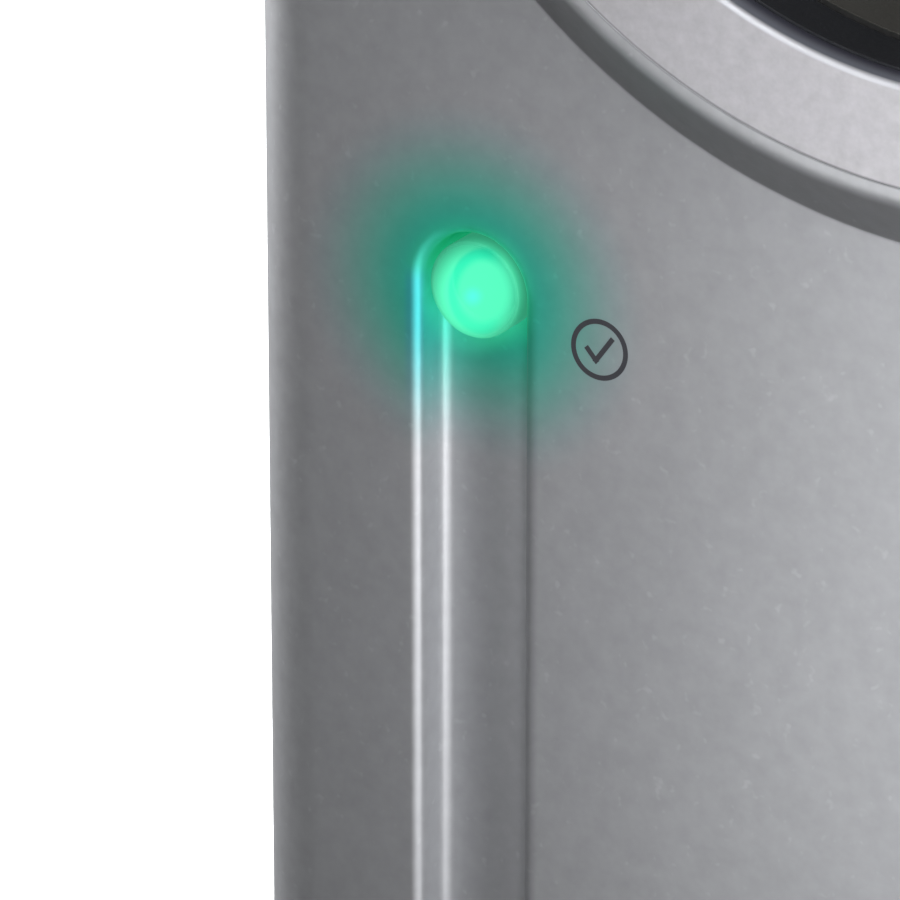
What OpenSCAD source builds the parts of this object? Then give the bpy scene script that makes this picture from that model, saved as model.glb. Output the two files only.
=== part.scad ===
// Plug-in surge protection adapter: a silver-painted case with one round
// earthed socket in front, the matching plug behind it on the same axis, and
// the protection circuit with its indicator in the long lower end.
//
// Everything is drawn lying on its back: x right, y up the wall, z from the
// plug's mating face towards the user, with the origin midway between the pins.
// upright() then stands it up, so the plug points along +Y and +Z is up.

/* [Body] */
// Width of the body
body_w = 61.4; // [61:0.1:64]
// Height of the body, bottom end to top end
body_h = 114.7; // [112:0.1:120]
// Depth of the body, back face to front face
body_d = 40; // [40:0.2:43]
// Radius of the body's corners, seen from the front
corner_r = 8; // [7.6:0.1:9]
// Radius of the rounded edge round the front face
front_edge_r = 3.3; // [2.4:0.1:4]
// Radius of the rounded edge round the back face
back_edge_r = 2; // [1:0.1:2.4]
// Wall thickness of both shells
wall = 2.2; // [2:0.1:2.3]
// Depth of the rear shell
rear_d = 12; // [11:0.5:13]

/* [Collar] */
// Radius of the raised collar where it meets the face
collar_r = 26.6; // [26.4:0.1:27]
// Radius of the collar at the top of its sloping skirt
collar_top_r = 24.2; // [24.1:0.1:24.6]
// Height of the collar above the face
collar_h = 2; // [1.8:0.1:2.2]
// Outer radius of the trim ring let into the collar
trim_r = 23.7; // [23.4:0.1:23.7]
// Inner radius of the trim ring
trim_inner_r = 19.9; // [19.9:0.05:20.1]
// Thickness of the trim ring
trim_t = 1.2; // [1:0.1:1.3]

/* [Socket] */
// Radius of the mouth of the well that takes the plug
well_r = 19.8; // [19.7:0.05:19.9]
// Depth of the well below the top of the collar
well_d = 17.5; // [17.5:0.1:17.8]
// Depth of the seam between liner and insert below the top of the collar
seam_d = 3.5; // [3.3:0.1:3.7]
// Radius of the contact holes in the floor of the well
hole_r = 2.75; // [2.6:0.05:2.8]
// Travel of the child-safety shutter
shutter_travel = 6.2; // [6.1:0.1:6.4]

/* [Plug] */
// Distance between the pins, and between the contact holes
pin_pitch = 19; // [18.8:0.1:19.2]
// Radius of the pins
pin_r = 2.4; // [2.35:0.05:2.4]
// Length of the pins beyond the mating face
pin_l = 19; // [18.5:0.1:19.5]
// Radius of the round plug body
plug_r = 18.5; // [18.3:0.1:18.6]
// Height of the plug body behind the back face
plug_h = 18; // [17.8:0.1:18.4]

/* [Indicator] */
// Distance of the groove's middle from the socket axis, to the left
groove_x = 20.3; // [20:0.1:20.6]
// Width of the groove
groove_w = 4.45; // [4.3:0.05:4.8]
// Depth of the groove
groove_d = 1.75; // [1.6:0.05:2]
// Distance of the light below the socket axis
light_y = 31.8; // [31.4:0.1:32.4]
// Distance of the groove's lower end above the bottom end of the body
groove_end = 12.5; // [12:0.5:16]
// Radius of the light pipe
light_r = 1.9; // [1.8:0.05:2.1]

/* [Hidden] */
$fn = 64;
eps = 0.1;

silver = [0.62, 0.63, 0.65];
graphite = [0.13, 0.13, 0.14];
ink_black = [0.07, 0.08, 0.08];
brass = [0.79, 0.66, 0.36];
nickel = [0.76, 0.76, 0.74];
zinc = [0.63, 0.65, 0.68];

// Heights above the mating face
back_z = plug_h;
front_z = plug_h + body_d;
split_z = back_z + rear_d;
lip_h = 2;
inside_z = front_z - wall;
collar_z = front_z + collar_h;
trim_z = collar_z - trim_t;
seam_z = collar_z - seam_d;
floor_z = collar_z - well_d;
floor_t = 2.2;
floor_back_z = floor_z - floor_t;

// Body outline: the top margin above the socket equals the side margins
top_y = body_w / 2;
bottom_y = top_y - body_h;
mid_y = (top_y + bottom_y) / 2;

// Shutter chamber behind the floor of the well
slide_gap = 0.3;
shutter_t = 2.4;
carrier_t = 2;
chamber_r = 19.4;
shutter_z = floor_back_z - slide_gap - shutter_t;
carrier_z = shutter_z - slide_gap;
skirt_z = carrier_z - carrier_t;
shutter_half_w = 13.9;
shutter_low = -3.4;
shutter_high = 5.2;
spring_z = shutter_z + shutter_t / 2;
spring_top = 19.3;
spring_coil_r = 1;
spring_wire_r = 0.17;
spring_turns = 11;
peg_r = 0.55;
peg_l = 1.8;
stop_peg_y = shutter_high + peg_l + shutter_travel + slide_gap;

// Insert
insert_r = 21.4;
insert_well_r = well_r - 0.2;
flange_r = 24;
shell_hole_r = insert_r + 0.1;
clip_house_w = 10;
clip_house_y = 23.4;
clip_slot_w = 7.2;
clip_slot_y = 22.2;
clip_wall_y = 20.6;
key_w = 5;
key_in_r = 17.9;
key_h = 11;

// Strips of sheet metal
strip_t = 0.8;
earth_w = 6;
clip_y = 21.4;
strip_y = 17.9;
strip_base_z = back_z + wall + 0.2 + strip_t / 2;
clip_base_z = strip_base_z + strip_t;
plug_face_t = 2.5;
bar_low_z = plug_face_t + strip_t / 2;
bar_w = 5;
bar_y = 4.6;
bar_high_z = 21.8;
bar_end_y = -3.2;
contact_r = 3.1;
contact_bore_r = 2.35;

// Plug
plug_bore_r = 16.3;
plug_bore_x = 14.4;
plug_key_x = 16.7;
plug_key_w = 5.2;
strip_slot_y = 17.45;
strip_slot_w = 6.6;
pin_stub_r = 1.5;
pin_tip_r = 1;

// Light pipe, light and groove
groove_floor_z = front_z - groove_d;
groove_wall = 1.8;
groove_back_z = groove_floor_z - 2;
groove_low_y = bottom_y + groove_end + groove_w / 2;
lens_front_z = front_z - 0.25;
lens_flange_r = 3;
dish_d = 0.8;
dish_r = light_r - 0.5;
lens_tail_z = 50.5;
led_r = 1.5;
led_base_z = 45.4;
led_apex_z = 50.2;

// Circuit board
board_back_z = 42;
board_t = 1.6;
board_front_z = board_back_z + board_t;
board_w = 54;
board_top = -27.6;
board_bottom = -72.5;
lead_r = 0.4;

// Screws: [shank radius, head radius, head height]
case_screw_size = [1.45, 2.9, 2.2];
small_screw_size = [1.2, 2.6, 1.9];
tiny_screw_size = [0.9, 1.9, 1.3];
screw_gap = 0.05;
case_screw_places = [for (y = [top_y - 7.2, bottom_y + 7], x = [-1, 1]) [x * (body_w / 2 - 7.2), y]];
case_seat_z = 23.5;
case_tip_z = 44;
case_boss_r = 3.4;
rear_boss_r = 4.2;
counterbore_r = 3.1;
insert_screw_places = [for (x = [-1, 1]) [20 * x, -19]];
insert_seat_z = 49.8;
ear_t = 2;
ear_r = 3.2;
post_r = 3;
carrier_screw_places = [for (x = [-1, 1]) [6.5 * x, -11]];
board_screw_places = [[-11.5, -68.5], [21, -68.5], [21, -32]];

// Protection circuit, all on the back of the board
varistor_places = [for (i = [0:2]) [-18 + 9 * i, -40]];
varistor_r = 7;
varistor_t = 4.6;
varistor_z = 33.6;

// Blank recess for the rating plate, on the back
plate_w = 44;
plate_h = 32;
plate_d = 0.4;
plate_y = -51;

module upright() rotate([90, 0, 0]) children();

// A flat shape made solid from height z0 to height z1
module slab(z0, z1) translate([0, 0, z0]) linear_extrude(z1 - z0) children();

// A disc or tube along z from z0 to z1
module rod(r, z0, z1) translate([0, 0, z0]) cylinder(r = r, h = z1 - z0);

// A flat (y, z) shape made solid across x, centred on x = 0
module across(w) translate([-w / 2, 0, 0]) rotate([90, 0, 90]) linear_extrude(w) children();

// The body's outline, moved in by inset
module outline(inset = 0) {
    translate([0, mid_y]) {
        square([body_w - 2 * corner_r, body_h - 2 * inset], center = true);
        square([body_w - 2 * inset, body_h - 2 * corner_r], center = true);
        for (sx = [-1, 1], sy = [-1, 1])
            translate([sx * (body_w / 2 - corner_r), sy * (body_h / 2 - corner_r)])
                circle(corner_r - inset);
    }
}

module quarter(r) intersection() {
    circle(r);
    square(r);
}

// The rounded edge round a face: from the full outline at z = 0 to the face at z = r
module rounded_layer(r) {
    straight = [body_h - 2 * corner_r, body_w - 2 * corner_r];
    reach = [body_w / 2 - r, body_h / 2 - r];
    linear_extrude(r) outline(r);
    translate([0, mid_y, 0]) for (side = [0:3]) rotate(90 * side) {
        along = straight[side % 2];
        out = reach[side % 2];
        translate([out, along / 2, 0]) rotate([90, 0, 0]) linear_extrude(along) quarter(r);
        translate([out + r - corner_r, along / 2, 0])
            rotate_extrude(angle = 90) translate([corner_r - r, 0]) quarter(r);
    }
}

// A slot with round ends, from end a to end b, in the plane of the face
module slot(a, b, w) {
    translate(a) circle(w / 2);
    translate(b) circle(w / 2);
    translate([a[0] - w / 2, b[1]]) square([w, a[1] - b[1]]);
}

module groove_shape(w) slot([-groove_x, -light_y], [-groove_x, groove_low_y], w);

// The outline of a strip of thickness t bent along a path, mitred at its bends
function unit(v) = v / norm(v);
function left(v) = [-v[1], v[0]];
function side_point(p, i, t) =
    let (
        a = i > 0 ? unit(p[i] - p[i - 1]) : unit(p[1] - p[0]),
        b = i < len(p) - 1 ? unit(p[i + 1] - p[i]) : a,
        n = unit(left(a) + left(b))
    ) p[i] + n * t / (n * left(a));
function strip_outline(p, t) = concat(
    [for (i = [0:len(p) - 1]) side_point(p, i, t / 2)],
    [for (i = [len(p) - 1:-1:0]) side_point(p, i, -t / 2)]
);

// A route with its corners cut off, n times over, so that it bends smoothly
function eased(p, n) = n == 0 ? p : eased(concat(
    [p[0]],
    [for (i = [0:len(p) - 2]) each [0.75 * p[i] + 0.25 * p[i + 1], 0.25 * p[i] + 0.75 * p[i + 1]]],
    [p[len(p) - 1]]
), n - 1);

// A closed tube of a few flat sides along a route that never runs along up
module tube(route, r, sides, up) {
    last = len(route) - 1;
    points = [for (i = [0:last])
        let (
            ahead = unit(route[min(i + 1, last)] - route[max(i - 1, 0)]),
            out = unit(cross(ahead, up)),
            over = cross(ahead, out)
        ) each [for (k = [0:sides - 1])
            route[i] + r * (out * cos(360 * k / sides) + over * sin(360 * k / sides))]
    ];
    walls = [for (i = [0:last - 1], k = [0:sides - 1])
        let (a = i * sides + k, b = i * sides + (k + 1) % sides)
            each [[b, a, a + sides], [b, a + sides, b + sides]]
    ];
    ends = [[for (k = [0:sides - 1]) k], [for (k = [sides - 1:-1:0]) last * sides + k]];
    polyhedron(points, concat(walls, ends), convexity = 10);
}

// A bare lead: straight runs between points, round at its corners
module lead(points, r) {
    for (i = [0:len(points) - 2]) {
        run = points[i + 1] - points[i];
        translate(points[i])
            rotate([0, acos(run[2] / norm(run)), atan2(run[1], run[0])])
                cylinder(r = r, h = norm(run));
        if (i > 0) translate(points[i]) sphere(r);
    }
}

// A cross-head screw pointing up z, its head's seat at z = 0
module screw(size, length) {
    shank = size[0];
    head = size[1];
    head_h = size[2];
    difference() {
        union() {
            rod(shank, -eps, length - shank);
            translate([0, 0, length - shank]) cylinder(r1 = shank, r2 = shank / 4, h = shank);
            rod(head, -0.6 * head_h, 0);
            translate([0, 0, -head_h]) cylinder(r1 = 0.7 * head, r2 = head, h = 0.4 * head_h);
        }
        for (a = [0, 90]) rotate(a) translate([-0.6 * head, -0.15 * head, -head_h - eps])
            cube([1.2 * head, 0.3 * head, 0.6 * head_h]);
    }
}

module pair() for (s = [-1, 1]) translate([s * pin_pitch / 2, 0, 0]) children();

module front_shell() color(silver) difference() {
    union() {
        difference() {
            union() {
                slab(split_z, front_z - front_edge_r) outline();
                translate([0, 0, front_z - front_edge_r]) rounded_layer(front_edge_r);
            }
            slab(split_z - 1, inside_z) outline(wall);
            slab(split_z - 1, split_z + lip_h + eps) outline(wall / 2);
        }
        rotate_extrude() polygon([
            [shell_hole_r - eps, inside_z],
            [collar_r, inside_z],
            [collar_r, front_z],
            [collar_top_r, collar_z],
            [shell_hole_r - eps, collar_z]
        ]);
        slab(groove_back_z, inside_z + eps) groove_shape(groove_w + 2 * groove_wall);
        for (p = case_screw_places) translate(p) rod(case_boss_r, split_z, inside_z + eps);
        for (p = insert_screw_places) translate(p) rod(post_r, insert_seat_z, inside_z + eps);
        for (p = board_screw_places) translate(p) rod(post_r, board_front_z, inside_z + eps);
    }
    rod(shell_hole_r, inside_z - 1, collar_z + 1);
    rod(trim_r + screw_gap, trim_z, collar_z + 1);
    slab(groove_floor_z, front_z + 1) groove_shape(groove_w);
    translate([-groove_x, -light_y, 0]) rod(light_r + screw_gap, groove_back_z - 1, front_z);
    for (p = case_screw_places) translate(p)
        rod(case_screw_size[0] + screw_gap, split_z - 1, case_tip_z + 2);
    for (p = concat(insert_screw_places, board_screw_places)) translate(p)
        rod(small_screw_size[0] + screw_gap, board_front_z - 1, inside_z - 0.5);
}

module rear_shell() color(graphite) difference() {
    union() {
        difference() {
            union() {
                slab(back_z + back_edge_r, split_z) outline();
                translate([0, 0, back_z + back_edge_r]) mirror([0, 0, 1]) rounded_layer(back_edge_r);
            }
            slab(back_z + wall, split_z + 1) outline(wall);
        }
        difference() {
            slab(back_z + wall, split_z + lip_h) outline(wall / 2 + eps);
            slab(back_z, split_z + 3) outline(wall);
        }
        rod(plug_r, 0, back_z + wall);
        for (p = case_screw_places) translate(p) rod(rear_boss_r, back_z + 0.5, split_z);
    }
    intersection() {
        rod(plug_bore_r, plug_face_t, back_z + wall + 1);
        translate([-plug_bore_x, -plug_r, 0]) cube([2 * plug_bore_x, 2 * plug_r, front_z]);
    }
    pair() rod(pin_stub_r + screw_gap, -1, plug_face_t + 1);
    for (s = [0, 180]) rotate(s) {
        translate([plug_key_x, -plug_key_w / 2, -1]) cube([4, plug_key_w, back_z + 1]);
        translate([-strip_slot_w / 2, strip_slot_y, 1]) cube([strip_slot_w, 1.2, back_z + wall]);
    }
    for (p = case_screw_places) translate(p) {
        rod(counterbore_r, back_z - 1, case_seat_z);
        rod(case_screw_size[0] + 0.2, back_z, split_z + 1);
    }
    translate([-plate_w / 2, plate_y - plate_h / 2, back_z - 1]) cube([plate_w, plate_h, 1 + plate_d]);
}

module trim_ring() color(silver) rotate_extrude() {
    lip = 0.35;
    translate([trim_inner_r + lip, trim_z]) square([trim_r - trim_inner_r - lip, trim_t]);
    translate([trim_inner_r, trim_z]) square([lip + eps, trim_t - lip]);
    translate([trim_inner_r + lip, collar_z - lip]) circle(lip);
}

module mouth_liner() color(ink_black) difference() {
    rod(insert_r, seam_z, trim_z);
    rod(well_r, seam_z - 1, trim_z + 1);
}

module socket_insert() color(graphite) difference() {
    union() {
        difference() {
            union() {
                rod(insert_r, skirt_z, seam_z);
                rod(flange_r, inside_z - 2, inside_z);
                translate([-clip_house_w / 2, -clip_house_y, skirt_z])
                    cube([clip_house_w, 2 * clip_house_y, inside_z - skirt_z]);
            }
            rod(insert_well_r, floor_z, seam_z + 1);
            rod(chamber_r, skirt_z - 1, floor_back_z);
            for (s = [0, 180]) rotate(s) {
                translate([-clip_slot_w / 2, 15, floor_z]) cube([clip_slot_w, clip_slot_y - 15, 12.6]);
                translate([-clip_slot_w / 2, clip_wall_y, skirt_z - 1])
                    cube([clip_slot_w, clip_slot_y - clip_wall_y, floor_z - skirt_z + 2]);
            }
        }
        // Ears for the two screws that hold the insert to the front shell
        for (p = insert_screw_places) {
            translate(p) rod(ear_r, insert_seat_z - ear_t, insert_seat_z);
            rotate(atan2(p[1], p[0])) translate([insert_r - 0.4, 0.5 - ear_r, insert_seat_z - ear_t])
                cube([norm(p) - insert_r + 0.4, 2 * ear_r - 1, ear_t]);
        }
        // Keys that fit the notches in the plug's sides
        for (s = [0, 180]) rotate(s) translate([key_in_r, -key_w / 2, floor_z - eps])
            cube([insert_well_r - key_in_r + eps, key_w, key_h]);
        // Rails and stops of the shutter, posts for the carrier's screws, and the spring's peg
        for (s = [-1, 1]) {
            translate([s * (shutter_half_w + slide_gap + 0.7) - 0.7, -12, carrier_z])
                cube([1.4, 24, floor_back_z - carrier_z + eps]);
            translate([s * 5 - 1, shutter_low - slide_gap - 1.7, carrier_z])
                cube([2, 1.7, floor_back_z - carrier_z + eps]);
        }
        for (p = carrier_screw_places) translate(p) rod(2.2, carrier_z, floor_back_z + eps);
        translate([0, stop_peg_y, spring_z]) rotate([-90, 0, 0])
            cylinder(r = peg_r, h = spring_top + 0.2 - stop_peg_y);
    }
    pair() rod(hole_r, floor_back_z - 1, floor_z + 1);
    for (p = insert_screw_places) translate(p)
        rod(small_screw_size[0] + 0.2, insert_seat_z - ear_t - 1, insert_seat_z + 1);
    for (p = carrier_screw_places) translate(p)
        rod(tiny_screw_size[0] + screw_gap, skirt_z, floor_back_z + 1);
}

module contact_carrier() color(ink_black) difference() {
    rod(chamber_r - eps, skirt_z, carrier_z);
    pair() rod(hole_r, skirt_z - 1, carrier_z + 1);
    for (p = carrier_screw_places) translate(p) rod(tiny_screw_size[0] + 0.15, skirt_z - 1, carrier_z + 1);
}

// Two ramps on one slide: both pins must press to lift it clear of the holes
module shutter() color("gainsboro") {
    across(2 * shutter_half_w) polygon([
        [shutter_low, shutter_z],
        [shutter_high, shutter_z],
        [shutter_high, shutter_z + shutter_t],
        [2.6, shutter_z + shutter_t],
        [shutter_low, shutter_z + 0.6]
    ]);
    translate([0, shutter_high - eps, spring_z]) rotate([-90, 0, 0]) cylinder(r = peg_r, h = peg_l + eps);
}

// A coil spring lying along y
module shutter_spring() color(nickel) {
    steps = 12 * spring_turns;
    low = shutter_high + spring_wire_r;
    rise = spring_top - spring_wire_r - low;
    tube([for (i = [0:steps])
        let (turn = 360 * spring_turns * i / steps)
            [spring_coil_r * cos(turn), low + rise * i / steps, spring_z + spring_coil_r * sin(turn)]
    ], spring_wire_r, 6, [0, 1, 0]);
}

// A slit sleeve that grips a pin of the plug in the socket
module sleeve_contact(s) color(brass) translate([s * pin_pitch / 2, 0, 0]) difference() {
    rod(contact_r, bar_high_z + strip_t / 2, skirt_z);
    rod(contact_bore_r, bar_high_z + 1.4, skirt_z + 1);
    translate([-0.4, -contact_r - 1, bar_high_z + 3]) cube([0.8, 2 * contact_r + 2, skirt_z]);
}

module line_contact() sleeve_contact(-1);
module neutral_contact() sleeve_contact(1);

// A bent bar from a contact sleeve down to the head of its pin
module bus_bar(s) color(brass) translate([s * pin_pitch / 2, 0, 0]) difference() {
    across(bar_w) polygon(strip_outline([
        [bar_end_y, bar_high_z],
        [bar_y, bar_high_z],
        [bar_y, bar_low_z],
        [bar_end_y, bar_low_z]
    ], strip_t));
    rod(pin_stub_r + screw_gap, bar_low_z - 1, bar_low_z + 1);
}

module line_bar() bus_bar(-1);
module neutral_bar() bus_bar(1);

// A pin set in from outside, its thin end riveted over the bar
module plug_pin(s) color(nickel) translate([s * pin_pitch / 2, 0, 0]) {
    rod(pin_r, pin_tip_r - pin_l, 0);
    rod(pin_r - pin_tip_r, -pin_l, eps - pin_l + pin_tip_r);
    translate([0, 0, pin_tip_r - pin_l]) rotate_extrude() translate([pin_r - pin_tip_r, 0]) circle(pin_tip_r);
    rod(pin_stub_r, -eps, bar_low_z + strip_t / 2 + eps);
    rod(pin_stub_r + 0.5, bar_low_z + strip_t / 2, bar_low_z + strip_t / 2 + 0.8);
}

module line_pin() plug_pin(-1);
module neutral_pin() plug_pin(1);

// One bent strip whose ends come up inside the well as the two earth springs
module earth_clip() color(nickel) difference() {
    across(earth_w) polygon(strip_outline([
        [-20.4, seam_z - 2.4],
        [-19, seam_z - 6],
        [-clip_y, seam_z - 11],
        [-clip_y, clip_base_z],
        [clip_y, clip_base_z],
        [clip_y, seam_z - 11],
        [19, seam_z - 6],
        [20.4, seam_z - 2.4]
    ], strip_t));
    rod(1.2 + screw_gap, clip_base_z - 1, clip_base_z + 1);
}

// One bent strip whose ends lie in the sides of the plug
module earth_strip() color(nickel) difference() {
    across(earth_w) polygon(strip_outline([
        [-strip_y, 1.4],
        [-strip_y, strip_base_z],
        [strip_y, strip_base_z],
        [strip_y, 1.4]
    ], strip_t));
    rod(1.2 + screw_gap, strip_base_z - 1, strip_base_z + 1);
}

module earth_rivet() color(brass) {
    rod(1.2, strip_base_z - strip_t, clip_base_z + strip_t);
    rod(2, strip_base_z - 1.5 * strip_t, strip_base_z - strip_t / 2);
    rod(2.2, clip_base_z + strip_t / 2, clip_base_z + 1.5 * strip_t);
}

// Light pipe: a rod with a dished end, and a flange behind the groove's floor
module led_lens() color("palegreen") translate([-groove_x, -light_y, 0]) difference() {
    union() {
        rod(light_r, lens_tail_z, lens_front_z);
        rod(lens_flange_r, groove_back_z - 1, groove_back_z);
    }
    translate([0, 0, lens_front_z - dish_d]) cylinder(r1 = dish_r, r2 = light_r + 0.2, h = 2 * dish_d);
}

module status_led() color("honeydew") translate([-groove_x, -light_y, 0]) {
    rod(led_r, led_base_z, led_apex_z - led_r);
    translate([0, 0, led_apex_z - led_r]) sphere(led_r);
    rod(led_r + 0.4, led_base_z, led_base_z + 1);
    for (s = [-1, 1]) translate([s * 0.9, 0, 0]) rod(0.3, board_front_z, led_base_z + eps);
}

module circuit_board() color("darkgreen") difference() {
    translate([-board_w / 2, board_bottom, board_back_z]) cube([board_w, board_top - board_bottom, board_t]);
    for (p = board_screw_places) translate(p)
        rod(small_screw_size[0] + 0.2, board_back_z - 1, board_front_z + 1);
}

// Disc-shaped surge absorber on two legs
module varistor(i) {
    edge = 0.9;
    half = varistor_t / 2;
    place = varistor_places[i - 1];
    color("royalblue") translate([place[0], place[1], varistor_z]) rotate([0, 90, 0])
        rotate_extrude() polygon([
            [0, -half],
            [varistor_r - edge, -half],
            [varistor_r, edge - half],
            [varistor_r, half - edge],
            [varistor_r - edge, half],
            [0, half]
        ]);
    color(zinc) for (s = [-1, 1]) translate([place[0] + 0.8 * s, place[1] + 3.75 * s, 0])
        rod(lead_r, varistor_z + 4, board_back_z);
}

// A round component lying along x or y on two bent leads
module axial(r, l, reach, z) {
    rotate([0, 90, 0]) rod(r, -l / 2, l / 2);
    for (s = [-1, 1]) lead([
        [s * (l / 2 - eps), 0, 0],
        [s * reach, 0, 0],
        [s * reach, 0, board_back_z - z]
    ], 0.3);
}

module gas_tube() color("gainsboro") translate([14, -40, 36.8]) {
    rotate([0, 90, 0]) {
        rod(3.6, -3, 3);
        for (s = [-1, 1]) translate([0, 0, 2.4 * s]) rod(4, -0.6, 0.6);
    }
    for (s = [-1, 1]) translate([2.4 * s, 0, 0]) rod(lead_r, 3.5, board_back_z - 36.8);
}

module thermal_fuse() color("dimgray")
    translate([(varistor_places[0][0] + varistor_places[1][0]) / 2, varistor_places[0][1], 36])
        rotate(90) axial(1.9, 9, 6.2, 36);

module film_capacitor() color("gold") translate([-21, -61.5, 0]) difference() {
    slab(29.5, board_back_z) square([18, 7.5]);
    translate([1, 1, board_back_z - 0.8]) cube([16, 5.5, 1]);
}

module dropper_resistor() color("tan") translate([13, -50, 39.2]) axial(1.7, 9, 6.4, 39.2);
module bleed_resistor() color("tan") translate([13, -56, 39.6]) axial(1.2, 6.4, 5, 39.6);
module rectifier_diode() color(ink_black) translate([13, -61.5, 39.6]) axial(1.35, 5.2, 4.4, 39.6);

module power_wire(s) tube(eased([
    [s * pin_pitch / 2, bar_end_y, bar_high_z],
    [s * pin_pitch / 2, -27, 22.5],
    [s * pin_pitch / 2, -29.6, 27],
    [s * pin_pitch / 2, -29.6, board_back_z]
], 2), 1.1, 10, [1, 0, 0]);

module line_wire() color("saddlebrown") power_wire(-1);
module neutral_wire() color("steelblue") power_wire(1);

module earth_wire() color("yellowgreen") tube(eased([
    [1.4, -14, clip_base_z + strip_t / 2],
    [1.4, -14, 25],
    [5.6, -19, 26],
    [5.6, -26, 26],
    [4.2, -29.6, 31],
    [4.2, -29.6, board_back_z]
], 2), 1, 10, [1, 0, 0]);

module case_screw(i) color(zinc) translate(case_screw_places[i - 1]) translate([0, 0, case_seat_z])
    screw(case_screw_size, case_tip_z - case_seat_z);

module insert_screw(i) color(zinc) translate(insert_screw_places[i - 1])
    translate([0, 0, insert_seat_z - ear_t]) screw(small_screw_size, 7);

module carrier_screw(i) color(zinc) translate(carrier_screw_places[i - 1])
    translate([0, 0, skirt_z]) screw(tiny_screw_size, 5.6);

module board_screw(i) color(zinc) translate(board_screw_places[i - 1])
    translate([0, 0, board_back_z]) screw(small_screw_size, 8);

upright() front_shell();
upright() rear_shell();
upright() trim_ring();
upright() mouth_liner();
upright() socket_insert();
upright() contact_carrier();
upright() shutter();
upright() shutter_spring();
upright() line_contact();
upright() neutral_contact();
upright() line_bar();
upright() neutral_bar();
upright() line_pin();
upright() neutral_pin();
upright() earth_clip();
upright() earth_strip();
upright() earth_rivet();
upright() led_lens();
upright() status_led();
upright() circuit_board();
upright() gas_tube();
upright() thermal_fuse();
upright() film_capacitor();
upright() dropper_resistor();
upright() bleed_resistor();
upright() rectifier_diode();
upright() line_wire();
upright() neutral_wire();
upright() earth_wire();
for (i = [1:3]) upright() varistor(i);
for (i = [1:4]) upright() case_screw(i);
for (i = [1:2]) upright() insert_screw(i);
for (i = [1:2]) upright() carrier_screw(i);
for (i = [1:3]) upright() board_screw(i);
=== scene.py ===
import math

import bmesh
import bpy
from mathutils import Matrix, Vector


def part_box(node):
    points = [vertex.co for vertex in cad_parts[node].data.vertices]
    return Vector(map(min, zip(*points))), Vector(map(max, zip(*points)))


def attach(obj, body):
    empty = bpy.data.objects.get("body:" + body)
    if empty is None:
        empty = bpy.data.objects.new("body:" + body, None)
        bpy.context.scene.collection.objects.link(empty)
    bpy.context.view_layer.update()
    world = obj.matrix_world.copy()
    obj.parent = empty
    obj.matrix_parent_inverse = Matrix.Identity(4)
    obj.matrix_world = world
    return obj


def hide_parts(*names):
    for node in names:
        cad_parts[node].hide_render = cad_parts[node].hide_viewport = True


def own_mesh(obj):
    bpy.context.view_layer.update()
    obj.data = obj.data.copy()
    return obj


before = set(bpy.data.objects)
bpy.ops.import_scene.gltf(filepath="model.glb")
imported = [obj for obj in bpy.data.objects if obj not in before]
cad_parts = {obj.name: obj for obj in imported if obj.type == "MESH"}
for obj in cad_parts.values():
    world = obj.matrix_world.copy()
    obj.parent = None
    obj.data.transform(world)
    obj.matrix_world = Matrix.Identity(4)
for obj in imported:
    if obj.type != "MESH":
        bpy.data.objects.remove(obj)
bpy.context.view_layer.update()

# Pieces are shaped as the case lies on a bench, x to the right, y up its face
# and z out of the face, and then stood up so that the plug points along +Y.
MM = 0.001
STAND = Matrix.Rotation(math.radians(90), 4, "X")

# The case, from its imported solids
shell_low, shell_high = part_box("front_shell")
ring_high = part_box("trim_ring")[1]
HALF_WIDTH = shell_high.x
HALF_HEIGHT = (shell_high.z - shell_low.z) / 2
MIDDLE = (shell_high.z + shell_low.z) / 2
COLLAR_TOP = -shell_low.y
SPLIT = -shell_high.y
TRIM_BACK = -ring_high.y
TRIM_R = ring_high.x
COLLAR_RISE = 2 * MM
FRONT = COLLAR_TOP - COLLAR_RISE
WALL = 2.2 * MM
INSIDE = FRONT - WALL
CORNER_R = 8 * MM
EDGE_R = 3.3 * MM
LIP_H = 2.1 * MM

# Collar, ring and well
COLLAR_R = 26.6 * MM
COLLAR_TOP_R = 24.18 * MM
TRIM_GAP = 0.006 * MM
TRIM_INNER_R = 19.9 * MM
TRIM_LIP = 0.2 * MM
BORE_R = 21.5 * MM
WELL_R = 19.8 * MM
INSERT_R = WELL_R - 0.2 * MM
SEAM = COLLAR_TOP - 3.5 * MM

# Groove and light
GROOVE_X = -20.3 * MM
GROOVE_HALF = 2.225 * MM
GROOVE_FLOOR = FRONT - 1.75 * MM
GROOVE_BACK = GROOVE_FLOOR - 2 * MM
GROOVE_WALL = 1.8 * MM
GROOVE_LIP = 0.45 * MM
GROOVE_FILLET = 0.5 * MM
LIGHT_Y = -31.8 * MM
LIGHT_R = 1.9 * MM
LIGHT_FRONT = FRONT - 0.25 * MM
GROOVE_LOW = MIDDLE - HALF_HEIGHT + 12.5 * MM + GROOVE_HALF

# Printed mark beside the light: a tick through three points in a ring
LEGEND_X = -14.8 * MM
LEGEND_Y = -33 * MM
LEGEND_R = 1.2 * MM
STROKE = 0.2 * MM
INK_H = 0.015 * MM
TICK = [(-0.5, -0.05), (-0.15, -0.45), (0.5, 0.45)]

# The shutter's spring
WIRE_R = 0.17 * MM
COIL_R = 1 * MM
COIL_TURNS = 11

# The photograph's view: degrees to the right of the face and up, through a long lens
CAMERA_TURN = 30.8
CAMERA_RISE = 22
CAMERA_AIM = Vector((-21.2, -58, -38.3)) * MM
CAMERA_DISTANCE = 262.3 * MM
CAMERA_LENS = 280

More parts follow.
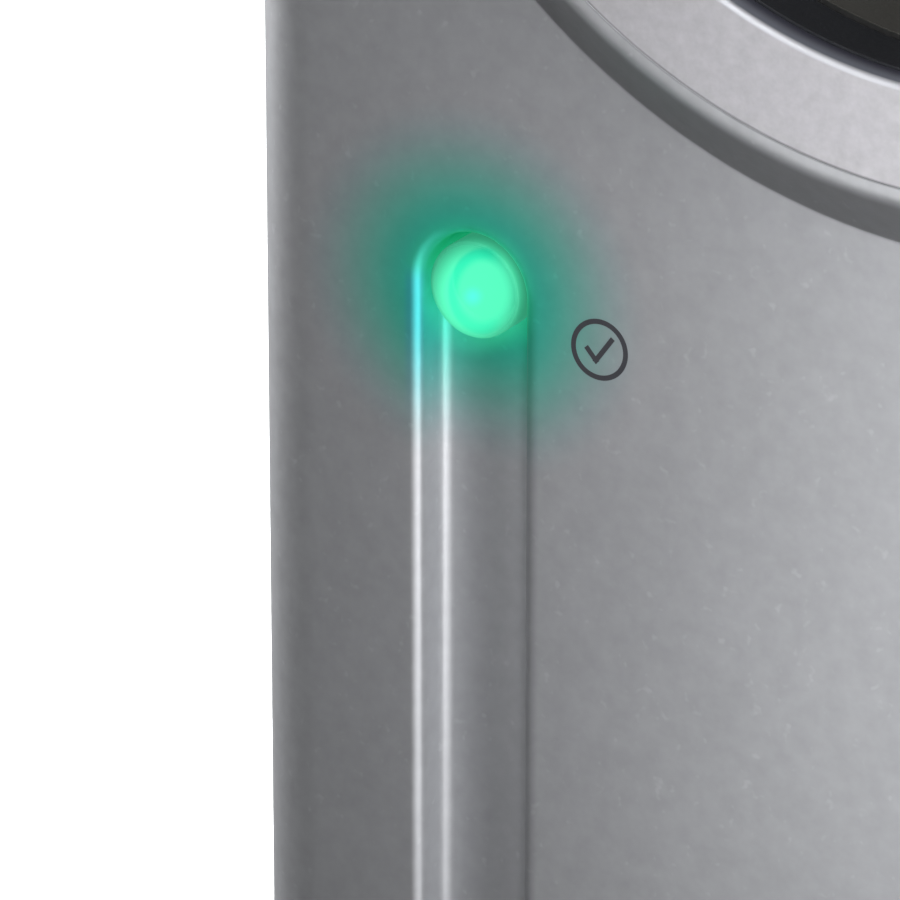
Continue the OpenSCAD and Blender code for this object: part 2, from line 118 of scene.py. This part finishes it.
# Large lamps half a metre from the face: degrees to its right, degrees up, power
FACE_AIM = Vector((-15, -58, -35)) * MM
FAR_DISTANCE = 500 * MM
FAR_LAMPS = {
    "right": (66, 20, 0.96),
    "above": (40, 60, 0.75),
    "above_left": (-104, 30, 2.4),
    "left_front": (-80, 20, 0.9),
    "behind": (180, 10, 5),
}

# Small lamps close to the face: place and aim in mm, width in mm, power
NEAR_LAMPS = {
    "low_right": ((50, -100, -60), (-22, -57, -60), 30, 0.038),
    "front_1": ((-10, -85, -50), (-15, -58, -45), 16, 0.0038),
    "front_2": ((10, -100, -50), (5, -58, -45), 16, 0.0034),
    "front_3": ((10, -100, -25), (5, -58, -20), 16, 0.0041),
    "front_4": ((10, -100, 0), (5, -58, 5), 16, 0.0289),
}

# Outlines seen from the front: middle x, middle y, reach in x, reach in y, radius
CASE = (0, MIDDLE, HALF_WIDTH - CORNER_R, HALF_HEIGHT - CORNER_R, CORNER_R)
AXIS = (0, 0, 0, 0, 0)
GROOVE = (GROOVE_X, (LIGHT_Y + GROOVE_LOW) / 2, 0, (LIGHT_Y - GROOVE_LOW) / 2, GROOVE_HALF)
LIGHT = (GROOVE_X, LIGHT_Y, 0, 0, 0)

# The lens's rim as the photograph shows it: its middle and its reach, sideways and up, in mm
LENS_OVAL = (0.19, -0.03, 1.83, 2.06)


def toward(turn, rise):
    """The way out from the part at this many degrees to the right of its face and up."""
    turn, rise = math.radians(turn), math.radians(rise)
    level = math.cos(rise)
    return Vector((math.sin(turn) * level, -math.cos(turn) * level, math.sin(rise)))


# Sideways and up in the photograph
VIEW_BACK = toward(CAMERA_TURN, CAMERA_RISE)
VIEW_RIGHT = Vector((0, 0, 1)).cross(VIEW_BACK).normalized()
VIEW_UP = VIEW_BACK.cross(VIEW_RIGHT)


class Value:
    """One number socket of a material, so that a pattern can be written as a sum."""

    def __init__(self, shader, socket):
        self.shader = shader
        self.socket = socket

    def math(self, operation, *others):
        return self.shader.node("ShaderNodeMath", {"operation": operation}, [self, *others])

    def __add__(self, other):
        return self.math("ADD", other)

    def __sub__(self, other):
        return self.math("SUBTRACT", other)

    def __mul__(self, other):
        return self.math("MULTIPLY", other)

    def __truediv__(self, other):
        return self.math("DIVIDE", other)

    def __rsub__(self, other):
        return self * -1 + other

    __radd__ = __add__
    __rmul__ = __mul__

    def clamped(self):
        return self.math("MAXIMUM", 0).math("MINIMUM", 1)

    def rise(self, low, high):
        """0 below low, 1 above high, smooth between. It falls where low is the larger."""
        part = ((self - low) / (high - low)).clamped()
        return part * part * (3 - 2 * part)


class Shader:
    """A material's nodes."""

    def __init__(self, name, **settings):
        self.material = bpy.data.materials.new(name)
        self.material.use_nodes = True
        self.tree = self.material.node_tree
        self.surface = self.tree.nodes["Principled BSDF"]
        for socket, value in settings.items():
            self.surface.inputs[socket.replace("_", " ")].default_value = value

    def node(self, kind, settings=None, values=(), output=0):
        """A node: its settings, then values or links for its sockets, by place or by name."""
        made = self.tree.nodes.new(kind)
        for name, value in (settings or {}).items():
            setattr(made, name, value)
        pairs = values.items() if isinstance(values, dict) else enumerate(values)
        for place, value in pairs:
            if isinstance(value, Value):
                self.tree.links.new(value.socket, made.inputs[place])
            else:
                made.inputs[place].default_value = value
        return Value(self, made.outputs[output])

    def place(self):
        return self.node("ShaderNodeTexCoord", output="Object")

    def across(self, axis):
        """How far along x, y or z a point lies, in millimetres."""
        return self.node("ShaderNodeSeparateXYZ", values=[self.place()], output=axis) * 1000

    def noise(self, per_mm, detail=2, roughness=0.5, stretch=(1, 1, 1)):
        """Noise from 0 to 1 with this many bumps to a millimetre."""
        scale = [1000 * per_mm * s for s in stretch]
        spot = self.node("ShaderNodeMapping", values={"Vector": self.place(), "Scale": scale})
        return self.node("ShaderNodeTexNoise", values={
            "Vector": spot, "Scale": 1, "Detail": detail, "Roughness": roughness})

    def mixed(self, amount, first, second):
        """A colour between two."""
        first = first if isinstance(first, Value) else (*first, 1)
        second = second if isinstance(second, Value) else (*second, 1)
        sockets = {0: amount, 6: first, 7: second}
        return self.node("ShaderNodeMix", {"data_type": "RGBA"}, sockets, output=2)

    def colour(self, red, green, blue):
        return self.node("ShaderNodeCombineColor", values=[red, green, blue])

    def wear(self, socket, value):
        """Links a varying value or colour to the surface."""
        self.tree.links.new(value.socket, self.surface.inputs[socket])

    def relief(self, height, depth_mm):
        """Bumps of a varying height that stand this many millimetres high at 1."""
        sockets = {"Strength": 1, "Distance": depth_mm * MM, "Height": height}
        self.wear("Normal", self.node("ShaderNodeBump", values=sockets))


def distance(shader, x=0, z=0):
    """How far a point lies from a line along y, the socket's axis unless told, in millimetres."""
    across, height = shader.across("X") - x / MM, shader.across("Z") - z / MM
    return (across * across + height * height).math("SQRT")


def light_oval(shader, side, up, reach_side, reach_up):
    """A place in an oval at the status light, upright in the photograph and 1 at its reach."""
    dx = shader.across("X") - GROOVE_X / MM
    dy = shader.across("Y") + FRONT / MM
    dz = shader.across("Z") - LIGHT_Y / MM
    along = (dx * VIEW_RIGHT.x + dy * VIEW_RIGHT.y - side) / reach_side
    above = (dx * VIEW_UP.x + dy * VIEW_UP.y + dz * VIEW_UP.z - up) / reach_up
    return along, above, (along * along + above * above).math("SQRT")


def collar_light_and_shade(shader):
    """Painted light on the collar: painted shade on its sloping side, a painted highlight on its
    rounded top edge, and a dark line at the ring.
    """
    out = distance(shader)
    foot, top, ring = COLLAR_R / MM, COLLAR_TOP_R / MM, TRIM_R / MM
    # Painted shade on the sloping side, painted highlight on the top edge.
    side = out.rise(foot + 0.15, foot - 0.1)
    edge = out.rise(top + 0.57, top - 0.08)
    seam = out.rise(ring + 0.1, ring + 0.04)
    return (1 - 0.52 * side + 0.72 * edge) * (1 - 0.35 * seam)


def groove_light_and_shade(shader, below, beside):
    """Painted light and shade in the groove: a painted light on the right of its floor and a
    painted shade along its right edge.
    """
    length = below * (shader.across("Z") - GROOVE_LOW / MM).rise(-1, 0.5)
    # Painted light on the floor's right part, painted shade along the right edge.
    floor = (shader.across("Y") + GROOVE_FLOOR / MM).rise(-0.3, -0.05) * beside.rise(2.4, 2.3)
    edge = beside.rise(2, 2.1) * beside.rise(3, 2.6)
    return 1 + length * (0.42 * floor * beside.rise(-0.4, 1.4) - 0.22 * edge)


def silver_paint():
    """Satin silver paint with painted light: the status light's green light and glow painted on
    near it, and painted shade and highlights on the collar and in the groove.
    """
    shader = Shader("silver_paint", Metallic=0.7, Emission_Strength=1)
    flake = shader.noise(3.5, detail=1)
    mottle = shader.noise(1.3)
    speck = shader.noise(2.2, detail=1).rise(0.66, 0.84)
    tone = 1 + (flake - 0.5) * 0.08 + (mottle - 0.5) * 0.2 + speck * 0.14
    below = (shader.across("Z") - LIGHT_Y / MM).rise(0.8, -0.2)
    beside = shader.across("X") - GROOVE_X / MM
    # The painted shade and highlights of the collar and the groove are multiplied into the paint's
    # tone.
    tone = tone * collar_light_and_shade(shader) * groove_light_and_shade(shader, below, beside)

    # Painted light: the paint is tinted green round the status light, where its light falls,
    # except on the groove's left lip.
    away = distance(shader, GROOVE_X, LIGHT_Y)
    lip = below * beside.rise(-3, -2.7) * beside.rise(-2.1, -2.3)
    red = 0.1 + 0.9 * away.rise(2.4, 7.7)
    blue = 1 - 0.18 * away.rise(7, 2.5) * (1 - lip)
    paint_and_light = shader.colour(0.368 * tone * red, 0.374 * tone, 0.391 * tone * blue)
    shader.wear("Base Color", paint_and_light)

    # Painted light: an emitted halo at the lens and a wide faint green glow, standing for the
    # status light's light on the paint.
    halo = light_oval(shader, *LENS_OVAL)[2].rise(1.25, 0.8) * 0.16
    halo = halo * (shader.across("Y") + FRONT / MM).rise(3.5, 2.5)
    green = (0.1 * away.rise(3.2, 2) + 0.05 * away.rise(6.8, 2.8)) * (1 - 0.85 * lip)
    glow = shader.colour(halo * 0.1, green + halo, green * 0.25 + halo * 0.56)
    shader.wear("Emission Color", glow)
    shader.wear("Roughness", 0.5 + (flake - 0.5) * 0.08)
    shader.relief(flake + mottle * 2, 0.003)
    return shader.material


def ring_silver():
    """Bright mottled satin of the ring: a dark seam, a painted highlight on its inner lip, and a
    dull dark bore with painted shade deeper in.
    """
    shader = Shader("ring_silver", Metallic=0.6)
    flake = shader.noise(5)
    mottle = shader.noise(1.6)
    tone = 0.5 + (flake - 0.5) * 0.6 + (mottle - 0.5) * 1.3
    out = distance(shader)
    depth = shader.across("Y") + COLLAR_TOP / MM
    mouth, ring = TRIM_INNER_R / MM, TRIM_R / MM
    seam = out.rise(ring - 0.1, ring - 0.04)
    # Painted shade: the dull dark bore grows darker with depth.
    bore = shader.mixed(depth.rise(0.4, 1.1), (0.2, 0.21, 0.25), (0.05, 0.05, 0.07))
    finish = shader.mixed(tone.clamped(), (0.37, 0.364, 0.38), (0.48, 0.475, 0.5))
    # Painted highlight: a lighter colour on the inner lip.
    finish = shader.mixed(out.rise(mouth + 0.24, mouth + 0.18), finish, (0.48, 0.485, 0.52))
    finish = shader.mixed(depth.rise(0.15, 0.3), finish, bore)
    shader.wear("Base Color", shader.mixed(seam * 0.35, finish, (0.03, 0.03, 0.03)))
    shader.wear("Roughness", 0.56 + (flake - 0.5) * 0.1)
    shader.relief(flake + mottle, 0.003)
    return shader.material


def plastic(name, colour, roughness, grain=0.02, rim=None):
    """Moulded plastic with a fine grain, and a dark seam beyond a distance from the axis."""
    shader = Shader(name, Specular_IOR_Level=0.4)
    grit = shader.noise(5, detail=4, roughness=0.6)
    darker = [part * 0.8 for part in colour]
    finish = shader.mixed(shader.noise(0.08), darker, colour)
    if rim:
        past = distance(shader).rise(rim / MM, rim / MM + 0.05)
        finish = shader.mixed(past, finish, (0.008, 0.008, 0.008))
    shader.wear("Base Color", finish)
    shader.wear("Roughness", roughness + (grit - 0.5) * 0.15)
    shader.relief(grit, grain)
    return shader.material


def metal(name, colour, roughness, along="X"):
    """Sheet or turned metal with fine marks along one direction."""
    shader = Shader(name, Metallic=1.0)
    stretch = {"X": (0.1, 1, 1), "Y": (1, 0.1, 1), "Z": (1, 1, 0.1)}[along]
    marks = shader.noise(6, detail=3, stretch=stretch)
    stain = shader.noise(0.25, detail=3)
    dull = [part * 0.72 for part in colour]
    shader.wear("Base Color", shader.mixed(stain, dull, colour))
    shader.wear("Roughness", roughness + (marks - 0.5) * 0.2)
    shader.relief(marks, 0.004)
    return shader.material


def light_green():
    """The light pipe, lit from behind: a bright disc in a rim that fades out at its edge."""
    shader = Shader(
        "light_green", Base_Color=(0.01, 0.1, 0.05, 1), Roughness=0.6,
        Specular_IOR_Level=0.15, Emission_Strength=1)
    rim = light_oval(shader, *LENS_OVAL)[2]
    along, above, disc = light_oval(shader, 0.45, 0.05, 1.3, 1.6)
    hot = light_oval(shader, 0.075, -0.14, 0.5, 0.5)[2].rise(1, 0)
    # Painted shade: a darker, greener arc over the top of the disc, on the dished end's wall.
    dish_shade = disc.rise(0.6, 0.85) * disc.rise(1.05, 0.92)
    dish_shade = dish_shade * (0.7 + above * 0.2) * along.rise(0.7, 0.1)
    glow = (0.27 + 0.62 * rim.rise(1.05, 0.55)) * (1 - 0.12 * dish_shade)
    red = glow * (0.105 - 0.09 * dish_shade)
    blue = glow * 0.56 + hot * 0.25
    shader.wear("Emission Color", shader.colour(red, glow, blue))
    return shader.material


def sweep(bm, outline, profile, sides=192):
    """A wall along an outline through (grow, height) steps. Gives its first and last loop."""
    x, y, reach_x, reach_y, radius = outline
    spread = 1 / math.cos(math.pi / sides)
    start = radius + profile[0][0]
    points = bmesh.ops.create_circle(bm, segments=sides, radius=start)["verts"]
    bmesh.ops.rotate(bm, verts=points, matrix=Matrix.Rotation(math.pi / sides, 3, "Z"))
    for point in points:
        side_x, side_y = math.copysign(reach_x, point.co.x), math.copysign(reach_y, point.co.y)
        point.co += Vector((x + side_x, y + side_y, 0))
    first = loop = list({edge for point in points for edge in point.link_edges})
    for step, (grow, height) in enumerate(profile):
        if step:
            made = bmesh.ops.extrude_edge_only(bm, edges=loop)["geom"]
            points = [part for part in made if isinstance(part, bmesh.types.BMVert)]
            loop = [part for part in made if isinstance(part, bmesh.types.BMEdge)]
        for point in points:
            flat = Vector((point.co.x, point.co.y, 0))
            side_x, side_y = math.copysign(reach_x, flat.x - x), math.copysign(reach_y, flat.y - y)
            centre = Vector((x + side_x, y + side_y, 0))
            point.co = centre + (flat - centre).normalized() * (radius + grow) * spread
            point.co.z = height
    return first, loop


def fill(bm, *loops):
    """A flat face inside the first loop and outside the others."""
    edges = [edge for loop in loops for edge in loop]
    bmesh.ops.triangle_fill(bm, use_beauty=True, edges=edges)


def smoothed(corners, steps=7):
    """The points of a line through (across, up, radius) corners, each rounded to its radius."""
    points = []
    for place, (across, up, radius) in enumerate(corners):
        corner = Vector((across, up))
        if not radius:
            points.append(corner)
            continue
        before = (Vector(corners[place - 1][:2]) - corner).normalized()
        after = (Vector(corners[(place + 1) % len(corners)][:2]) - corner).normalized()
        half = before.angle(after) / 2
        centre = corner + (before + after).normalized() * radius / math.sin(half)
        start = corner + before * radius / math.tan(half) - centre
        end = corner + after * radius / math.tan(half) - centre
        turn = math.pi - 2 * half
        for step in range(steps + 1):
            angle = turn * step / steps
            arm = start * math.sin(turn - angle) + end * math.sin(angle)
            points.append(centre + arm / math.sin(turn))
    return [tuple(point) for point in points]


def piece(name, bm, material, slot, *nodes):
    """Turns what lies on the bench into a finished piece of the part, in place of its solids."""
    bmesh.ops.remove_doubles(bm, verts=bm.verts, dist=1e-7)
    bmesh.ops.recalc_face_normals(bm, faces=bm.faces)
    bmesh.ops.transform(bm, matrix=STAND, verts=bm.verts)
    mesh = bpy.data.meshes.new(name)
    bm.to_mesh(mesh)
    bm.free()
    mesh.shade_smooth()
    mesh.set_sharp_from_angle(angle=math.radians(30))
    mesh.materials.append(material)
    made = bpy.data.objects.new(name, mesh)
    bpy.context.collection.objects.link(made)
    weighted = made.modifiers.new("even shading", "WEIGHTED_NORMAL")
    weighted.keep_sharp = True
    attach(made, "housing")
    if nodes:
        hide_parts(*nodes)
    return made


def front_case():
    """The painted shell: case walls, raised collar, groove, and the posts inside."""
    bm = bmesh.new()
    walls = [
        (-WALL, INSIDE, 0),
        (-WALL, SPLIT + LIP_H, 0),
        (-WALL / 2, SPLIT + LIP_H, 0),
        (-WALL / 2, SPLIT, 0),
        (0, SPLIT, 0.15 * MM),
        (0, FRONT, EDGE_R),
        (-EDGE_R - 0.25 * MM, FRONT, 0),
    ]
    ceiling, face = sweep(bm, CASE, smoothed(walls, 14))
    collar = [
        (COLLAR_R + 0.4 * MM, FRONT, 0),
        (COLLAR_R, FRONT, 0.15 * MM),
        (COLLAR_TOP_R, COLLAR_TOP, 0.6 * MM),
        (TRIM_R + TRIM_GAP, COLLAR_TOP, 0.035 * MM),
        (TRIM_R + TRIM_GAP, TRIM_BACK, 0),
        (BORE_R, TRIM_BACK, 0),
        (BORE_R, INSIDE, 0),
    ]
    collar_foot, bore = sweep(bm, AXIS, smoothed(collar))
    groove = [
        (GROOVE_LIP + 0.25 * MM, FRONT, 0),
        (0, FRONT, GROOVE_LIP),
        (0, GROOVE_FLOOR, GROOVE_FILLET),
        (-GROOVE_FILLET - 0.01 * MM, GROOVE_FLOOR, 0),
    ]
    groove_top, groove_floor = sweep(bm, GROOVE, smoothed(groove))
    hole_r = GROOVE_HALF - GROOVE_FILLET - 0.03 * MM
    hole = [(hole_r, GROOVE_FLOOR), (hole_r, GROOVE_BACK)]
    hole_front, hole_back = sweep(bm, LIGHT, hole, 64)
    boss = [(GROOVE_WALL, INSIDE), (GROOVE_WALL, GROOVE_BACK)]
    boss_top, boss_back = sweep(bm, GROOVE, boss, 64)
    fill(bm, face, collar_foot, groove_top)
    fill(bm, groove_floor, hole_front)
    fill(bm, boss_back, hole_back)
    posts = []
    for post in screw_posts():
        x, y, radius, end, bite, depth = [value * MM for value in post]
        steps = [(radius, INSIDE), (radius, end), (bite, end), (bite, end + depth)]
        top, bottom = sweep(bm, (x, y, 0, 0, 0), steps, 32)
        fill(bm, bottom)
        posts.append(top)
    fill(bm, ceiling, bore, boss_top, *posts)
    return piece("front_case", bm, silver_paint(), "silver_paint", "front_shell")


def screw_posts():
    """The posts, in mm: x, y, radius, height of the end, radius and depth of the hole."""
    case = [(x, y, 3.4, SPLIT / MM, 1.5, 16) for x in (-23.5, 23.5) for y in (23.5, -77)]
    insert = [(x, -19, 3, 49.8, 1.25, 5.5) for x in (-20, 20)]
    spots = ((-11.5, -68.5), (21, -68.5), (21, -32))
    board = [(x, y, 3, 43.6, 1.25, 6.5) for x, y in spots]
    return case + insert + board


def trim_ring():
    """The separate bright ring let into the collar."""
    bm = bmesh.new()
    section = smoothed([
        (TRIM_R, TRIM_BACK, 0.05 * MM),
        (TRIM_R, COLLAR_TOP, 0.035 * MM),
        (TRIM_INNER_R, COLLAR_TOP, TRIM_LIP),
        (TRIM_INNER_R, TRIM_BACK, 0.05 * MM),
    ])
    sweep(bm, AXIS, section + section[:1])
    return piece("collar_ring", bm, ring_silver(), "silver_paint", "trim_ring")


def mouth_sleeve():
    """The black sleeve below the ring."""
    bm = bmesh.new()
    section = smoothed([
        (BORE_R - 0.1 * MM, SEAM, 0.1 * MM),
        (BORE_R - 0.1 * MM, TRIM_BACK, 0.05 * MM),
        (WELL_R, TRIM_BACK, 0.03 * MM),
        (WELL_R, SEAM, 0.12 * MM),
    ])
    sweep(bm, AXIS, section + section[:1])
    black = plastic("black_plastic", (0.012, 0.013, 0.016), 0.45)
    return piece("mouth_sleeve", bm, black, "black_plastic", "mouth_liner")


def status_light():
    """The light pipe with its dished end."""
    bm = bmesh.new()
    tail = -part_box("led_lens")[1].y
    section = smoothed([
        (LIGHT_R, tail, 0),
        (LIGHT_R, GROOVE_BACK - 1 * MM, 0),
        (3 * MM, GROOVE_BACK - 1 * MM, 0),
        (3 * MM, GROOVE_BACK, 0),
        (LIGHT_R, GROOVE_BACK, 0),
        (LIGHT_R, LIGHT_FRONT, 0.07 * MM),
        (LIGHT_R - 0.15 * MM, LIGHT_FRONT, 0.06 * MM),
        (LIGHT_R - 0.5 * MM, LIGHT_FRONT - 0.8 * MM, 0.15 * MM),
        (0.05 * MM, LIGHT_FRONT - 0.8 * MM, 0),
    ])
    back, front = sweep(bm, LIGHT, section, 64)
    fill(bm, back)
    fill(bm, front)
    return piece("light_pipe", bm, light_green(), "lens_green", "led_lens")


def bar(bm, start, end, width, low, high):
    """A flat bar on the bench from one point to another."""
    run = Vector(end) - Vector(start)
    middle = (Vector(start) + Vector(end)) / 2
    size = Matrix.Diagonal((run.length + width, width, high - low, 1))
    turn = Matrix.Rotation(math.atan2(run.y, run.x), 4, "Z")
    place = Matrix.Translation((*middle, (low + high) / 2))
    bmesh.ops.create_cube(bm, size=1, matrix=place @ turn @ size)


def legend():
    """A plain printed tick in a ring, beside the light."""
    bm = bmesh.new()
    low, high = FRONT, FRONT + INK_H
    inner = LEGEND_R - STROKE
    band = [(inner, low), (LEGEND_R, low), (LEGEND_R, high), (inner, high), (inner, low)]
    sweep(bm, (LEGEND_X, LEGEND_Y, 0, 0, 0), band, 96)
    start, corner, end = [(LEGEND_X + x * MM, LEGEND_Y + y * MM) for x, y in TICK]
    bar(bm, start, corner, STROKE, low, high)
    bar(bm, corner, end, STROKE, low, high + 0.002 * MM)
    ink = plastic("printed_ink", (0.03, 0.03, 0.036), 0.5, grain=0.001)
    return piece("legend", bm, ink, "graphite_plastic")


def return_spring():
    """The shutter's coil spring at the length of its solid; the real one shortens from below as
    the shutter rises.
    """
    low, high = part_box("shutter_spring")
    foot = low.z + WIRE_R
    depth = -(low.y + high.y) / 2
    steps = COIL_TURNS * 24
    rise = (high.z - low.z - 2 * WIRE_R) / steps
    bm = bmesh.new()
    start = Matrix.Translation((COIL_R, foot, depth))
    bmesh.ops.create_circle(bm, cap_ends=True, segments=8, radius=WIRE_R, matrix=start)
    end = bmesh.ops.spin(
        bm, geom=bm.verts[:] + bm.edges[:], cent=(0, foot, depth), axis=(0, 1, 0),
        dvec=(0, rise, 0), angle=2 * math.pi * COIL_TURNS, steps=steps)["geom_last"]
    edges = [part for part in end if isinstance(part, bmesh.types.BMEdge)]
    bmesh.ops.contextual_create(bm, geom=edges)
    steel = metal("spring_wire", (0.62, 0.62, 0.6), 0.3, along="Z")
    made = piece("return_spring", bm, steel, "spring_wire", "shutter_spring")
    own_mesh(made)


def dress(material, *names):
    """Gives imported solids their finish."""
    for name in names:
        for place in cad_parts[name].material_slots:
            place.material = material


def dress_solids():
    """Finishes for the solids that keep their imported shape: colour and roughness of each."""
    plastics = {
        "graphite_plastic": ((0.045, 0.044, 0.04), 0.5, "rear_shell"),
        "black_moulding": ((0.02, 0.02, 0.022), 0.5, "contact_carrier", "rectifier_diode"),
        "shutter_white": ((0.62, 0.62, 0.6), 0.4, "shutter"),
        "board_green": ((0.02, 0.13, 0.05), 0.35, "circuit_board"),
        "white_ceramic": ((0.6, 0.58, 0.53), 0.3, "gas_tube"),
        "fuse_grey": ((0.16, 0.16, 0.17), 0.45, "thermal_fuse"),
        "capacitor_yellow": ((0.75, 0.5, 0.05), 0.35, "film_capacitor"),
        "resistor_tan": ((0.5, 0.33, 0.17), 0.4, "dropper_resistor", "bleed_resistor"),
        "wire_brown": ((0.16, 0.07, 0.035), 0.4, "line_wire"),
        "wire_blue": ((0.03, 0.12, 0.36), 0.4, "neutral_wire"),
        "wire_green": ((0.25, 0.42, 0.04), 0.4, "earth_wire"),
        "varistor_blue": ((0.03, 0.1, 0.4), 0.3, "varistor_1", "varistor_2", "varistor_3"),
        "clear_green": ((0.4, 0.6, 0.45), 0.2, "status_led"),
    }
    for name, (colour, roughness, *nodes) in plastics.items():
        dress(plastic(name, colour, roughness), *nodes)
    insert = plastic("insert_graphite", (0.045, 0.044, 0.04), 0.5, rim=INSERT_R)
    dress(insert, "socket_insert")
    brass = metal("contact_brass", (0.72, 0.5, 0.2), 0.3)
    dress(brass, "line_contact", "neutral_contact", "line_bar", "neutral_bar", "earth_rivet")
    nickel = metal("bright_nickel", (0.68, 0.67, 0.63), 0.22, along="Y")
    dress(nickel, "line_pin", "neutral_pin", "earth_clip", "earth_strip")
    zinc = metal("zinc_screw", (0.6, 0.62, 0.66), 0.35, along="Z")
    dress(zinc, *[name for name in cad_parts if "screw" in name])


def area_light(name, place, aim, width, height, power):
    data = bpy.data.lights.new(name, "AREA")
    data.shape = "RECTANGLE"
    data.size = width
    data.size_y = height
    data.energy = power
    made = bpy.data.objects.new(name, data)
    bpy.context.collection.objects.link(made)
    made.location = place
    made.rotation_euler = (aim - place).to_track_quat("-Z", "Y").to_euler()
    made.visible_camera = False


def lamps():
    for name, (turn, rise, power) in FAR_LAMPS.items():
        place = FACE_AIM + toward(turn, rise) * FAR_DISTANCE
        area_light(name, place, FACE_AIM, 0.2, 0.2, power)
    area_light("left", Vector((-0.513, -0.012, 0)), FACE_AIM, 0.07, 0.2, 1.72)
    for name, (place, aim, width, power) in NEAR_LAMPS.items():
        area_light(name, Vector(place) * MM, Vector(aim) * MM, width * MM, 0.04, power)


def studio():
    """A pale floor and backdrop, which show white and light nothing."""
    bm = bmesh.new()
    bmesh.ops.create_grid(bm, x_segments=1, y_segments=1, size=3)
    bmesh.ops.translate(bm, verts=bm.verts, vec=(0, 0, shell_low.z))
    mesh = bpy.data.meshes.new("floor")
    bm.to_mesh(mesh)
    bm.free()
    floor = bpy.data.objects.new("floor", mesh)
    bpy.context.collection.objects.link(floor)
    white = (1, 1, 1, 1)
    shader = Shader(
        "pale_floor", Roughness=0.9, Specular_IOR_Level=0.1,
        Emission_Strength=1, Emission_Color=white)
    pale = shader.mixed(shader.noise(0.02), (0.86, 0.86, 0.86), (0.9, 0.9, 0.9))
    shader.wear("Base Color", pale)
    mesh.materials.append(shader.material)
    floor.visible_diffuse = False
    floor.visible_glossy = False
    world = bpy.data.worlds.new("studio")
    world.use_nodes = True
    world.node_tree.nodes["Background"].inputs["Color"].default_value = white
    bpy.context.scene.world = world
    world.cycles_visibility.diffuse = False
    world.cycles_visibility.glossy = False


def camera():
    data = bpy.data.cameras.new("camera")
    data.lens = CAMERA_LENS
    data.sensor_width = 36
    data.clip_start = 0.01
    made = bpy.data.objects.new("camera", data)
    bpy.context.collection.objects.link(made)
    made.location = CAMERA_AIM + VIEW_BACK * CAMERA_DISTANCE
    made.rotation_euler = (-VIEW_BACK).to_track_quat("-Z", "Y").to_euler()
    bpy.context.scene.camera = made
    bpy.context.scene.view_settings.view_transform = "Standard"


camera()
front_case()
trim_ring()
mouth_sleeve()
status_light()
legend()
return_spring()
dress_solids()
lamps()
studio()
